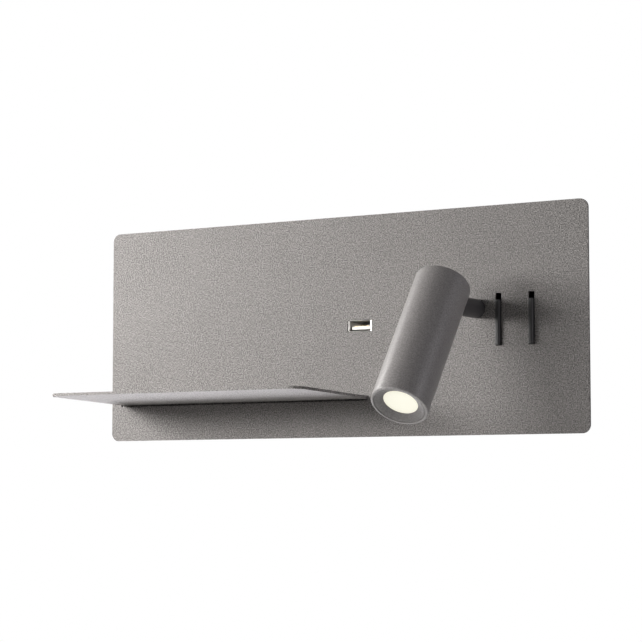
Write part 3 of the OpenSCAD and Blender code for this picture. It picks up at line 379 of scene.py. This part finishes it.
# Switches. Each has a slim black bar that slides in an upright slot of the plate, with a broad foot behind
# the plate, a black body, a bridge of copper strip on the foot and three brass terminals.
bar_plastic = moulded("bar_plastic", (0.04, 0.04, 0.041), 0.46, 0.4)
brass = worn_brass("terminal_brass", (0.78, 0.58, 0.26))
copper = worn_brass("copper_strip", (0.78, 0.42, 0.24))
for circuit in ("reading", "backlight"):
    slider = circuit + "_switch_slider"
    finish_piece(circuit + "_slide_bar", eased(slider, 0.00015), bar_plastic, slider)
    paint(black_case, circuit + "_switch_body")
    paint(copper, circuit + "_switch_bridge")
    paint(brass, circuit + "_switch_terminals")


# Stem and swivel. A turned steel stem in satin paint, milled flat where it enters the head; its near-black
# tint is painted shade for the head's shadow over it. Behind the plate it turns in a nylon bush between
# washers and a nut.
def satin_paint_with_painted_shade():
    # Painted shade: the near-black base colour stands in for the head's shadow over the stem.
    finish = Finish("stem_paint_with_painted_shade", (0.052, 0.05, 0.051), 0.45, specular_ior_level=0.3)
    peel = finish.grain(0.0012, detail=2.0)
    finish.put("Base Color", peel.colours((0.045, 0.043, 0.045), (0.062, 0.06, 0.061)))
    finish.put("Roughness", peel.between(0.38, 0.52))
    finish.relief(peel, 0.00002, 0.5)
    return finish.material


finish_piece("stem_arm_rod", eased("stem", 0.0004, 3), satin_paint_with_painted_shade(), "stem")
nylon = moulded("natural_nylon", (0.7, 0.68, 0.63), 0.45)
paint(nylon, "swivel_bush", "tilt_washers")


# Reading head. A coated aluminium tube, slotted at its back for the stem, with a cap at its rear end and
# a collar that slopes in from the front rim to the lens; the collar's darker tint is painted shade for
# the recess.
head_coat = powder_coat("head_powder_coat", (0.24, 0.228, 0.226), 0.38, 1.0, 0.4)
# Painted shade: the collar's tint is darker than the head's to stand in for the shade in the recess.
collar_coat_painted_shade = powder_coat("collar_powder_coat_painted_shade", (0.15, 0.142, 0.141), 0.45, 0.8, 0.4)
finish_piece("head_shell", eased("head_tube", 0.0003), head_coat, "head_tube")
finish_piece("head_collar", eased("baffle_ring", 0.00015), collar_coat_painted_shade, "baffle_ring")
finish_piece("head_cap", eased("head_rear_cap", 0.0002), head_coat, "head_rear_cap")


# Inside the head. A turned aluminium carrier holds the tilt pin, and a grooved aluminium slug cools the
# light chip; both show the fine rings of the lathe, along the tube. At the lower limit of its tilt joint
# the tube hangs straight down.
tilt_joint = next(row for row in frame["record"]["behaviour"]["joints"] if row["name"] == "head_tilt")
head_tilt = math.radians(-tilt_joint["range_deg"][0])
pivot = tilt_joint["pos_m"]


def turned_aluminium():
    finish = Finish("turned_aluminium", (0.7, 0.71, 0.72), 0.3, 1.0)
    along = finish.turned(place=pivot, turn=(-head_tilt, 0.0, 0.0))
    rings = {"Vector": along, "Scale": 900.0}
    lathe = finish.start.node("ShaderNodeTexWave", {"bands_direction": "Z"}, rings)
    cloud = finish.grain(0.006, detail=3.0)
    finish.put("Base Color", cloud.colours((0.6, 0.61, 0.62), (0.78, 0.785, 0.79)))
    finish.put("Roughness", cloud.between(0.22, 0.4))
    finish.relief(lathe, 0.00001, 0.4)
    return finish.material


paint(turned_aluminium(), "pivot_carrier", "heat_sink")


# Light source. A yellow phosphor chip on a white board shines through a bright cone and a thin opal lens,
# which glows warm white, a little weaker towards its rim.
def opal_lens():
    finish = Finish("opal_lens", (0.25, 0.245, 0.215), 0.4)
    head_space = finish.turned(place=pivot, turn=(-head_tilt, 0.0, 0.0))
    across = {0: head_space, 1: (1, 1, 0)}
    flat = finish.start.node("ShaderNodeVectorMath", {"operation": "MULTIPLY"}, across)
    radius = finish.start.node("ShaderNodeVectorMath", {"operation": "LENGTH"}, {0: flat}, out="Value")
    rim_radius = 0.0072
    rim = radius.above(rim_radius, 0.002)
    finish.put("Emission Color", rim.colours((0.775, 0.762, 0.645), (0.755, 0.732, 0.612)))
    finish.put("Emission Strength", 1.0)
    return finish.material


def phosphor():
    finish = Finish("phosphor", (0.9, 0.72, 0.24), 0.5)
    finish.put("Base Color", finish.grain(0.0006).colours((0.85, 0.66, 0.2), (0.95, 0.78, 0.32)))
    finish.put("Emission Color", finish.grain(0.0006).colours((1.0, 0.86, 0.6), (1.0, 0.93, 0.75)))
    finish.put("Emission Strength", 4.0)
    return finish.material


def bright_cone():
    finish = Finish("bright_cone", (0.88, 0.88, 0.87), 0.12, 1.0)
    finish.put("Roughness", finish.grain(0.002, detail=3.0).between(0.06, 0.2))
    return finish.material


paint(opal_lens(), "lens")
paint(phosphor(), "led_chip")
paint(bright_cone(), "reflector")


# Printed boards. Green ones carry the driver's and the charger's parts, white ones the light chips; the
# taller parts on the green boards are dark, as coils and capacitors are.
def green_board(name, top=1.0):
    """Parts that reach beyond top along Y are dark; without a top the board is bare."""
    finish = Finish(name, (0.03, 0.16, 0.06), 0.35)
    split = finish.start.node("ShaderNodeSeparateXYZ", {}, {0: finish.coords}, out="Y")
    tracks = finish.grain(0.0022, detail=1.0).above(0.52, 0.02)
    mask = finish.grain(0.001)
    bare = tracks.colours((0.02, 0.13, 0.05), (0.05, 0.24, 0.1))
    tall = mask.colours((0.03, 0.03, 0.035), (0.09, 0.085, 0.08))
    finish.put("Base Color", split.above(top, 0.0001).colours(bare, tall))
    finish.put("Roughness", mask.between(0.3, 0.5))
    return finish.material


def white_board():
    finish = Finish("white_board", (0.82, 0.82, 0.79), 0.4)
    haze = finish.grain(0.004, detail=3.0)
    finish.put("Base Color", haze.colours((0.76, 0.76, 0.73), (0.86, 0.86, 0.83)))
    finish.put("Roughness", finish.grain(0.001).between(0.32, 0.5))
    return finish.material


driver_low, driver_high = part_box("driver_board")
paint(green_board("driver_board_green", driver_low[1] + 0.0017), "driver_board")
paint(green_board("charger_board_green"), "usb_board")
paint(white_board(), "led_board", "backlight_strip_top", "backlight_strip_bottom")


# Backlight covers. Two opal channels snap on the housing's upper and lower walls, over the light strips,
# so that the wall above and below the plate can glow.
def opal_cover():
    finish = Finish("opal_cover", (0.86, 0.86, 0.83), 0.42)
    haze = finish.grain(0.01, detail=3.0)
    finish.put("Base Color", haze.colours((0.82, 0.82, 0.79), (0.9, 0.9, 0.87)))
    finish.put("Roughness", haze.between(0.36, 0.5))
    return finish.material


cover_plastic = opal_cover()
for side in ("top", "bottom"):
    channel = "backlight_diffuser_" + side
    finish_piece("backlight_cover_" + side, eased(channel, 0.0003), cover_plastic, channel)


# Driver and terminal block. White moulded plastic: the driver's tray and its cover snap together, and the
# block takes the supply cable and the inner leads under its brass screws.
white_case = moulded("white_case", (0.78, 0.77, 0.73), 0.45)
finish_piece("driver_tray", eased("driver_base", 0.0003), white_case, "driver_base")
finish_piece("driver_lid", eased("driver_cover", 0.0004), white_case, "driver_cover")
paint(white_case, "terminal_block")
paint(brass, "terminal_screws")


# Leads. Stranded copper in thin insulation, brown and blue for the mains side and black for the rest.
def insulation(name, tint):
    finish = Finish(name, tint, 0.42)
    streak = finish.grain(0.003, detail=2.0)
    finish.put("Base Color", streak.colours([level * 0.85 for level in tint], tint))
    finish.put("Roughness", streak.between(0.34, 0.5))
    return finish.material


paint(insulation("brown_lead", (0.2, 0.1, 0.05)), "mains_leads")
paint(insulation("blue_lead", (0.04, 0.12, 0.35)), "switch_leads")
paint(insulation("black_lead", (0.035, 0.035, 0.038)), "control_leads", "head_leads")
